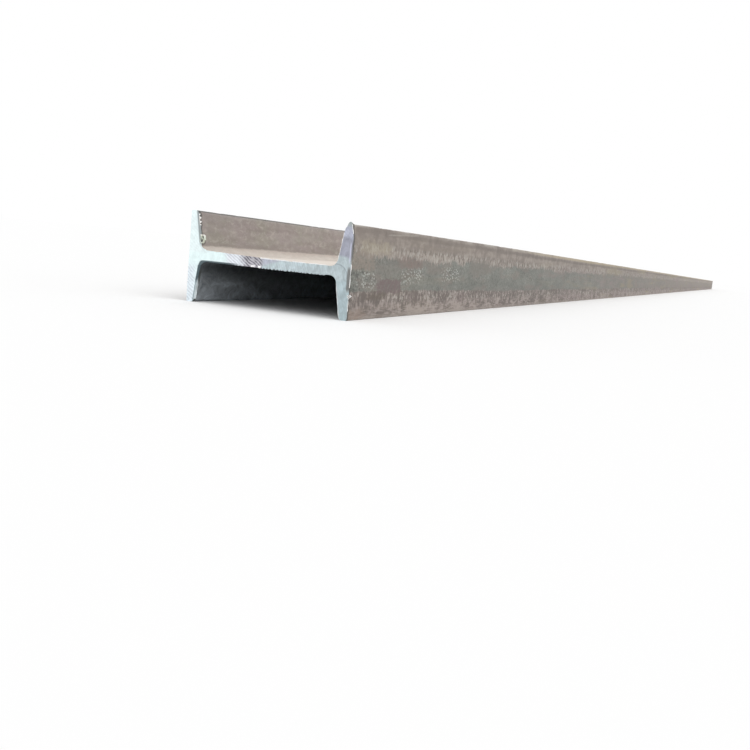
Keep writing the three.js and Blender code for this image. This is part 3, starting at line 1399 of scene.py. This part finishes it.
@dataclass
class RolledBeam:
    """The beam itself: the section run from end to end, slightly uneven as rolled steel is.

    Its cross-sections lie `finest` apart at the ends, and their spacing grows by the share `growth` of
    the way in. Its faces swell by `wave` and its edges have nicks as deep as `nick`. At the near end the
    right flange's upper edge is worn: it sinks by `sink`, loses `batter` at both corners beside its
    `ridge`, is driven up by `drive` at the cut and knocked in by `knock`, each over its own reach.
    """

    section: RolledSection
    length: float
    finest: float = 4 * MM
    growth: float = 0.0245
    sharp: float = math.radians(35)
    wave: float = 0.18 * MM
    wave_length: float = 220 * MM
    wave_count: int = 3
    wave_seed: int = 60
    nick: float = 0.9 * MM
    nick_length: float = 7 * MM
    nick_draws: tuple[float, float] = (0.70, 0.95)
    nick_seed: int = 40
    worn_from: float = 46 * MM
    worn_curve: float = 1.5
    ridge: float = 2.64 * MM
    corner_out: float = 2.6 * MM
    corner_in: float = 6 * MM
    corner_limit: float = 1.2
    batter: float = 2.6 * MM
    batter_reach: float = 45 * MM
    sink: float = 1.4 * MM
    sink_reach: float = 600 * MM
    drive: float = 2.5 * MM
    drive_reach: float = 9 * MM
    knock: float = 2.4 * MM
    knock_depth: float = 10 * MM
    knock_heights: tuple[float, float] = mm(39.2, 53.2)

    def __post_init__(self) -> None:
        """Cuts the section into its grid."""
        self.grid = SectionGrid(self.section)

    def stations(self) -> np.ndarray:
        """Places the cross-sections along the beam, closer together towards its ends.

        Returns:
            Places along Y, from one end to the other.
        """
        half = self.length / 2
        grown = math.log1p(self.growth * half / self.finest)
        steps = np.linspace(0, 1, math.ceil(grown / self.growth) + 1)
        near = -half + np.expm1(steps * grown) * self.finest / self.growth
        return np.concatenate([near, -near[-2::-1]])

    def _unevenness(self, loop: np.ndarray, stations: np.ndarray) -> np.ndarray:
        """Finds how far each corner of the skin stands out from the true section.

        Args:
            loop: the outline's corners.
            stations: places along the beam.

        Returns:
            Distances along the outline's normals, a row for each station.
        """
        relief = np.zeros((len(stations), len(loop)))
        run = stations + self.length
        edges = [(side, up) for side in (-1, 1) for up in (-1, 1)]
        for number, (side, up) in enumerate(edges):
            tip = (np.sign(loop[:, 0]) == side) & (loop[:, 1] * up > self.section.toe_start)
            drawn = Unevenness(self.nick_seed + number).layered(run / self.nick_length, 2)
            relief[:, tip] -= self.nick * rising(drawn, *self.nick_draws)[:, None]
        round_beam = np.linspace(0, 2 * math.pi, len(loop), endpoint=False)
        for number in range(self.wave_count):
            swell = Unevenness(self.wave_seed + number).layered(run / self.wave_length, 2) - 0.5
            relief += self.wave * swell[:, None] * np.cos((number + 1) * round_beam + number)
        return relief

    def _battered(self, x: np.ndarray, height: np.ndarray, y: np.ndarray) -> tuple[np.ndarray, np.ndarray]:
        """Reshapes the right flange's upper edge near the near end, where knocks wore it down.

        Args:
            x: places along the depth.
            height: heights over the web's mid-plane.
            y: places along the beam.

        Returns:
            The new places along the depth, and the new heights.
        """
        face = self.section.face
        inward = y + self.length / 2
        worn = np.where(x > 0, rising(height, self.worn_from, self.section.edge), 0) ** self.worn_curve
        aside = x - (face - self.ridge)
        reach = np.where(aside > 0, self.corner_out, self.corner_in)
        off = np.clip(np.abs(aside) / reach, 0, self.corner_limit) ** 2
        near = rising(inward, self.batter_reach, 0) ** 2
        sunk = self.sink * rising(inward, self.sink_reach, 0)
        driven = self.drive * rising(inward, self.drive_reach, 0) ** 2 * rising(off, 1, 0)
        knocked = rising(x, face - self.knock_depth, face) * rising(height, *self.knock_heights)
        lifted = driven - sunk - self.batter * near * off
        return x - self.knock * near * knocked, height + worn * lifted

    def end_outline(self, end: End) -> np.ndarray:
        """Works out the outline that one end has after its knocks.

        Args:
            end: which end.

        Returns:
            The outline's corners, round the web's middle.
        """
        loop = np.array(self.grid.points)[self.grid.outline]
        return np.stack(self._battered(loop[:, 0], loop[:, 1], end.value * self.length / 2), axis=1)

    def _close(self, beam: Skin, end: End, ring: np.ndarray, cells: np.ndarray) -> None:
        """Closes one end of the skin with the section's cells.

        Args:
            beam: the skin, with its rings of corners.
            end: which end.
            ring: the numbers of the last ring's corners there.
            cells: the grid's cells, turned so that they face out of the end.
        """
        grid = self.grid
        inside = sorted(set(range(len(grid.points))) - set(grid.outline))
        first = len(beam.points)
        number = np.zeros(len(grid.points), dtype=int)
        number[grid.outline] = ring - first
        number[inside] = range(len(inside))
        flat = np.array(grid.points)[inside]
        x, height = self._battered(flat[:, 0], flat[:, 1], end.value * self.length / 2)
        y = np.full(len(inside), end.value * self.length / 2)
        beam.add(np.stack([x, y, height + self.section.edge], axis=1), number[cells], slot=1)

    def build(self, scale: Material, sawn: Material) -> bpy.types.Object:
        """Makes the beam as one closed skin.

        Args:
            scale: finish of the rolled surfaces.
            sawn: finish of the ends.

        Returns:
            The piece.
        """
        flat = np.array(self.grid.points)
        loop = flat[self.grid.outline]
        stations = self.stations()
        relief = self._unevenness(loop, stations)
        relief[[0, -1]] = 0
        skin = loop + relief[..., None] * outward(loop)
        ys = np.broadcast_to(stations[:, None], relief.shape)
        xs, heights = self._battered(skin[..., 0], skin[..., 1], ys)
        corner = np.arange(relief.size).reshape(relief.shape)
        after = np.roll(corner, -1, axis=1)
        sides = np.stack([corner[:-1], corner[1:], after[1:], after[:-1]], axis=2).reshape(-1, 4)
        beam = Skin()
        beam.add(np.stack([xs, ys, np.maximum(heights + self.section.edge, 0)], axis=2), sides)
        skin_map = SkinMap()
        places = [skin_map.skin(stations, loop)]
        for end, ring in ((End.NEAR, corner[0]), (End.FAR, corner[-1])):
            cells = np.array(self.grid.cells)[:, :: -end.value]
            self._close(beam, end, ring, cells)
            places.append(skin_map.end(end, flat[cells], self.section.root))
        piece = beam.piece("rolled_beam", [scale, sawn], self.sharp)
        piece.data.uv_layers.new(name=skin_map.name).data.foreach_set("uv", np.concatenate(places).ravel())
        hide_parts(NODE)
        return piece


@dataclass(frozen=True)
class RaggedStretch:
    """A stretch of a sawn edge with more burr than the rest, as a box on the section round the web's middle.

    The burr stands up to `rise`, in waves of `tooth` that run from 0 to 1. It starts where a wave passes
    `gaps`, so a value below 0 leaves no gap. It grows over `taper` from the top of the box down, and
    loses the share `fall` from left to right. Torn burr shines, other burr looks like the sawn end
    itself. The waves wander by `wander` of their length and are uneven by the share `loose`. They are
    drawn `full` times as high and cut off at the rise, and at least the share `least` of it is left
    everywhere.
    """

    low: tuple[float, float]
    high: tuple[float, float]
    rise: float
    tooth: float
    gaps: float = 0.2
    taper: float = 0.01 * MM
    torn: bool = True
    fall: float = 0.0
    wander: float = 0.9
    loose: float = 0.4
    full: float = 1.3
    least: float = 0.04

    def heights(self, places: np.ndarray, steps: np.ndarray, seed: int) -> np.ndarray:
        """Finds how far the burr would stand out if the stretch had no borders at its sides.

        Args:
            places: places round the outline.
            steps: their distances along it.
            seed: picks the draw.

        Returns:
            A height for each place.
        """
        draw = Unevenness(seed).layered(steps / self.tooth, 3)
        wave = 0.5 + 0.5 * np.sin(2 * math.pi * (steps / self.tooth + self.wander * draw))
        teeth = rising((1 - self.loose) * wave + self.loose * draw, self.gaps, 1)
        grown = rising(places[:, 1], self.high[1], self.high[1] - self.taper)
        lost = self.fall * rising(places[:, 0], self.low[0], self.high[0])
        return self.rise * np.clip(self.full * teeth, self.least, 1) * grown * (1 - lost)


RAGGED_STRETCHES = (
    RaggedStretch(mm(106, -18), mm(111, 9), 0.9 * MM, 17 * MM, -0.1),
    RaggedStretch(mm(106, -46), mm(111, -29), 0.8 * MM, 6 * MM, -0.2),
    RaggedStretch(mm(90, 12), mm(104, 44), 0.7 * MM, 9 * MM, -0.1),
    RaggedStretch(mm(88, -54), mm(104, -14), 0.5 * MM, 12 * MM, -0.4),
    RaggedStretch(mm(-103, 38), mm(-92, 52), 3.0 * MM, 4.4 * MM, 0.25),
    RaggedStretch(mm(-103, 26), mm(-92, 38), 1.5 * MM, 9.0 * MM, -0.8, torn=False),
    RaggedStretch(mm(-103, 23), mm(-92, 27), 2.6 * MM, 4.0 * MM, 0.0),
    RaggedStretch(mm(-103, -53), mm(-92, -26), 3.0 * MM, 16 * MM, -1.2, 9 * MM),
    RaggedStretch(mm(-80, -7), mm(78, -4), 1.5 * MM, 4.6 * MM, 0.1, torn=False),
    RaggedStretch(mm(-96, 4), mm(-10, 14), 3.6 * MM, 22 * MM, -1.6, 7 * MM, False, 0.7),
    RaggedStretch(mm(-9, 4), mm(90, 8), 1.6 * MM, 11 * MM, -0.6, fall=0.7),
    RaggedStretch(mm(-111, -52), mm(-109, -4), 0.9 * MM, 3.0 * MM, 0.3, torn=False),
    RaggedStretch(mm(-80, -7), mm(-10, -4), 0.7 * MM, 4.6 * MM, 0.1, torn=False),
    RaggedStretch(mm(105, 43), mm(111, 54), 0.8 * MM, 9 * MM, -0.4),
)


@dataclass(frozen=True)
class Curl:
    """A curled chip that still hangs on the cut, with its place on the near end; the far end mirrors it."""

    at: tuple[float, float]
    radius: float
    width: float
    turns: float
    seed: int
    tall: float = 1.0


CURLS = (
    Curl(mm(-92.6, 21), 3.6 * MM, 3.6 * MM, 1.45, 3600, 2.0),
    Curl(mm(110.4, -28), 2.4 * MM, 3.6 * MM, 1.6, 2400),
)


@dataclass
class SawBurr:
    """The burr of one sawn end: a thin ragged lip along its edges, and the curls that didn't break off.

    Outside the ragged stretches the lip stands out by up to `slight`, in teeth as long as `slight_tooth`.
    It starts `sunk` in the steel, comes out `proud` of the cut and `foot` out of the skin, and leans
    forward by up to the share `forward` of its thickness. It has a shoulder at the share `shoulder` of
    its height and ends `tucked` under the skin. A curl's middle lies `curl_inward` of its width in from
    the cut. The curl winds in to the share `curl_core` of its radius, and sways and twists by chance.
    """

    section: RolledSection
    outline: np.ndarray
    length: float
    end: End
    spacing: float = 0.6 * MM
    slight: float = 0.25 * MM
    proud: float = 0.12 * MM
    sunk: float = 0.4 * MM
    thick: float = 0.35 * MM
    foot: float = 0.03 * MM
    forward: float = 0.6
    shoulder: float = 0.6
    tucked: float = 0.05 * MM
    slight_tooth: float = 4 * MM
    lean_length: float = 6 * MM
    seed: int = 80
    stretch_seeds: int = 10
    lean_seed: int = 95
    curl_steps: int = 16
    curl_core: float = 0.3
    curl_inward: float = 0.35
    curl_twist: float = 0.25
    curl_sway: float = 0.3
    sharp: float = math.radians(50)

    def _walk(self) -> tuple[np.ndarray, np.ndarray, np.ndarray]:
        """Walks round the outline in even steps.

        Returns:
            The places, the directions out of the section there, and the distances walked.
        """
        loop = np.vstack([self.outline, self.outline[:1]])
        run = np.concatenate([[0], np.cumsum(np.linalg.norm(np.diff(loop, axis=0), axis=1))])
        steps = np.linspace(0, run[-1], round(run[-1] / self.spacing), endpoint=False)
        places = np.stack([np.interp(steps, run, loop[:, axis]) for axis in (0, 1)], axis=1)
        return places, outward(places), steps

    def _rise(self, places: np.ndarray, steps: np.ndarray) -> tuple[np.ndarray, np.ndarray]:
        """Finds how far the lip stands out, none where the beam rests on the floor.

        Args:
            places: the walk's places.
            steps: the distances walked.

        Returns:
            A height for each place, and whether the lip is torn there.
        """
        seed = self.seed + self.end.value
        between = self.stretch_seeds // 2
        rise = self.slight * Unevenness(seed).layered(steps / self.slight_tooth, 2)
        torn = np.zeros(len(places), dtype=bool)
        for number, stretch in enumerate(RAGGED_STRETCHES):
            inside = np.all((places > stretch.low) & (places < stretch.high), axis=1)
            own = stretch.heights(places, steps, seed + between + self.stretch_seeds * number)
            rise = np.where(inside, own, rise)
            torn |= inside & stretch.torn
        rise[places[:, 1] < -self.section.toe_start] = 0
        return rise, torn

    def lip(self, skin: Skin) -> None:
        """Runs the ragged lip round the end.

        Args:
            skin: the mesh that it goes into.
        """
        places, out, steps = self._walk()
        rise, torn = self._rise(places, steps)
        lean = Unevenness(self.lean_seed + self.end.value).layered(steps / self.lean_length, 2)
        # Corners of the lip's own section: how far out of the outline, and how far in from the cut.
        profile = (
            (-self.sunk, self.sunk),
            (self.foot, -self.proud),
            (rise, self.thick * (lean - self.forward)),
            (self.shoulder * rise, self.thick),
            (-self.tucked, 2 * self.thick),
        )
        rings = []
        for stand, back in profile:
            flat = places + out * np.broadcast_to(stand, rise.shape)[:, None]
            y = np.broadcast_to(self.end.value * (self.length / 2 - np.asarray(back)), rise.shape)
            height = np.maximum(flat[:, 1] + self.section.edge, 0)
            rings.append(np.stack([flat[:, 0], y, height], axis=1))
        rings = np.stack(rings, axis=1)
        slots = np.repeat(np.where(torn, 0, 1), rings.shape[1])
        skin.add_tube(rings if self.end is End.FAR else rings[:, ::-1], closed=True, slots=slots)

    def curl(self, skin: Skin, curl: Curl) -> None:
        """Adds a curled chip.

        Args:
            skin: the mesh that it goes into.
            curl: the chip.
        """
        count = round(self.curl_steps * curl.turns)
        angle = np.linspace(0, 2 * math.pi * curl.turns, count)
        shrink = np.linspace(1, self.curl_core, count)
        swing = curl.width * (Unevenness(curl.seed).layered(np.arange(count) / 2, 2) - 0.5)
        middle = (-self.end.value * curl.at[0], curl.at[1] + self.section.edge)
        rings = []
        for depth, edge in ((0, -1), (0, 1), (1, 1), (1, -1)):
            reach = curl.radius * shrink - depth * self.thick
            inward = (self.curl_inward + edge / 2) * curl.width
            x = middle[0] + reach * np.cos(angle) + self.curl_twist * edge * swing
            y = self.end.value * (self.length / 2 - inward) + self.curl_sway * swing
            z = middle[1] + curl.tall * reach * np.sin(angle) + self.curl_sway * swing
            rings.append(np.stack([x, y, z], axis=1))
        rings = np.stack(rings, axis=1)
        skin.add_tube(rings if self.end is End.NEAR else rings[:, ::-1], closed=False)

    def build(self, torn: Material, sawn: Material) -> bpy.types.Object:
        """Makes the burr of this end.

        Args:
            torn: finish of the burr that shines.
            sawn: finish of the rest.

        Returns:
            The piece.
        """
        skin = Skin()
        self.lip(skin)
        for curl in CURLS:
            self.curl(skin, curl)
        return skin.piece(f"{self.end.name.lower()}_end_burr", [torn, sawn], self.sharp)


# ---- Studio --------------------------------------------------------------------------------------


@dataclass(frozen=True)
class Studio:
    """A pale floor under an even sky, one wide soft lamp, and the camera."""

    sky: float = 0.65
    lamp: float = 1.34
    lamp_width: float = math.radians(75)
    towards_lamp: tuple[float, float, float] = (0.38, -0.45, 0.81)
    floor_half: float = 120.0
    floor_colour: Colour = (0.80, 0.80, 0.79)
    floor_roughness: float = 0.9
    white: tuple[float, ...] = (1.0, 1.0, 1.0, 1.0)
    camera_place: tuple[float, float, float] = (0.5264, -6.9198, 0.0821)
    camera_turn: float = math.radians(22.15)
    camera_dip: float = math.radians(-7.98)
    camera_roll: float = math.radians(5.34)
    lens: float = 42.07
    view_depth: tuple[float, float] = (0.05, 400.0)

    def _seen(self, tree: bpy.types.NodeTree) -> Socket:
        """Tells the rays that show a surface or the sky from those that only carry light.

        Args:
            tree: the nodes of the floor's material or of the sky.

        Returns:
            1 for what is seen straight, in a mirror or through glass, else 0.
        """
        rays = tree.nodes.new("ShaderNodeLightPath")
        shown = rays.outputs["Is Camera Ray"]
        for name in ("Is Glossy Ray", "Is Transmission Ray"):
            either = tree.nodes.new("ShaderNodeMath")
            either.operation = "MAXIMUM"
            tree.links.new(shown, either.inputs[0])
            tree.links.new(rays.outputs[name], either.inputs[1])
            shown = either.outputs[0]
        return shown

    def floor(self) -> bpy.types.Object:
        """Lays the floor, which shows white and keeps the beam's shadow.

        Returns:
            The floor.
        """
        half = self.floor_half
        corners = [(-half, -half, 0), (half, -half, 0), (half, half, 0), (-half, half, 0)]
        mesh = bpy.data.meshes.new("floor")
        mesh.from_pydata(corners, [], [(0, 1, 2, 3)])
        material = bpy.data.materials.new("pale_floor")
        material.use_nodes = True
        tree = material.node_tree
        surface = tree.nodes["Principled BSDF"]
        surface.inputs["Roughness"].default_value = self.floor_roughness
        surface.inputs["Specular IOR Level"].default_value = 0.0
        share, plain, white, result = colour_mix(tree)
        plain.default_value = (*self.floor_colour, 1)
        white.default_value = self.white
        tree.links.new(self._seen(tree), share)
        tree.links.new(result, surface.inputs["Base Color"])
        mesh.materials.append(material)
        floor = placed("floor", mesh)
        return floor

    def sky_light(self) -> None:
        """Sets an even sky that shows as white."""
        world = bpy.data.worlds.new("even_sky")
        bpy.context.scene.world = world
        world.use_nodes = True
        tree = world.node_tree
        light = tree.nodes["Background"]
        light.inputs["Color"].default_value = self.white
        light.inputs["Strength"].default_value = self.sky
        white = tree.nodes.new("ShaderNodeBackground")
        white.inputs["Color"].default_value = self.white
        white.inputs["Strength"].default_value = 1.0
        blend = tree.nodes.new("ShaderNodeMixShader")
        tree.links.new(self._seen(tree), blend.inputs["Fac"])
        tree.links.new(light.outputs[0], blend.inputs[1])
        tree.links.new(white.outputs[0], blend.inputs[2])
        tree.links.new(blend.outputs[0], tree.nodes["World Output"].inputs["Surface"])

    def lamp_light(self) -> bpy.types.Object:
        """Hangs the wide lamp.

        Returns:
            The lamp.
        """
        data = bpy.data.lights.new("soft_lamp", "SUN")
        data.energy = self.lamp
        data.angle = self.lamp_width
        lamp = placed("soft_lamp", data)
        lamp.rotation_euler = Vector(self.towards_lamp).to_track_quat("Z", "Y").to_euler()
        return lamp

    def camera(self) -> bpy.types.Object:
        """Places the camera and makes it the scene's.

        Returns:
            The camera.
        """
        data = bpy.data.cameras.new("camera")
        data.lens = self.lens
        data.clip_start, data.clip_end = self.view_depth
        camera = placed("camera", data)
        camera.matrix_world = (
            Matrix.Translation(Vector(self.camera_place))
            @ Matrix.Rotation(self.camera_turn, 4, "Z")
            @ Matrix.Rotation(math.pi / 2 + self.camera_dip, 4, "X")
            @ Matrix.Rotation(self.camera_roll, 4, "Z")
        )
        bpy.context.scene.camera = camera
        return camera


def report(piece: bpy.types.Object) -> None:
    """Logs how many triangles a piece has."""
    log.info("%s: %d triangles", piece.name, sum(len(face.vertices) - 2 for face in piece.data.polygons))


def main() -> None:
    """Builds the beam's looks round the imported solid."""
    logging.basicConfig(level=logging.INFO, format="%(name)s: %(message)s")
    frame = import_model()
    low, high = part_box(NODE)
    log.info("frame holds %s", sorted(frame["nodes"]))
    section = RolledSection(depth=high.x - low.x, flange_width=high.z - low.z)
    length = high.y - low.y
    rolled = RolledBeam(section, length)
    sawn = SawnSteel(section).material()
    report(rolled.build(MillScale(section, low.y).material(), sawn))
    torn = TornSteel().material()
    for end in End:
        report(SawBurr(section, rolled.end_outline(end), length, end).build(torn, sawn))
    studio = Studio()
    studio.floor()
    studio.sky_light()
    studio.lamp_light()
    studio.camera()
    bpy.context.scene.view_settings.view_transform = "Standard"


if __name__ == "__main__":
    main()
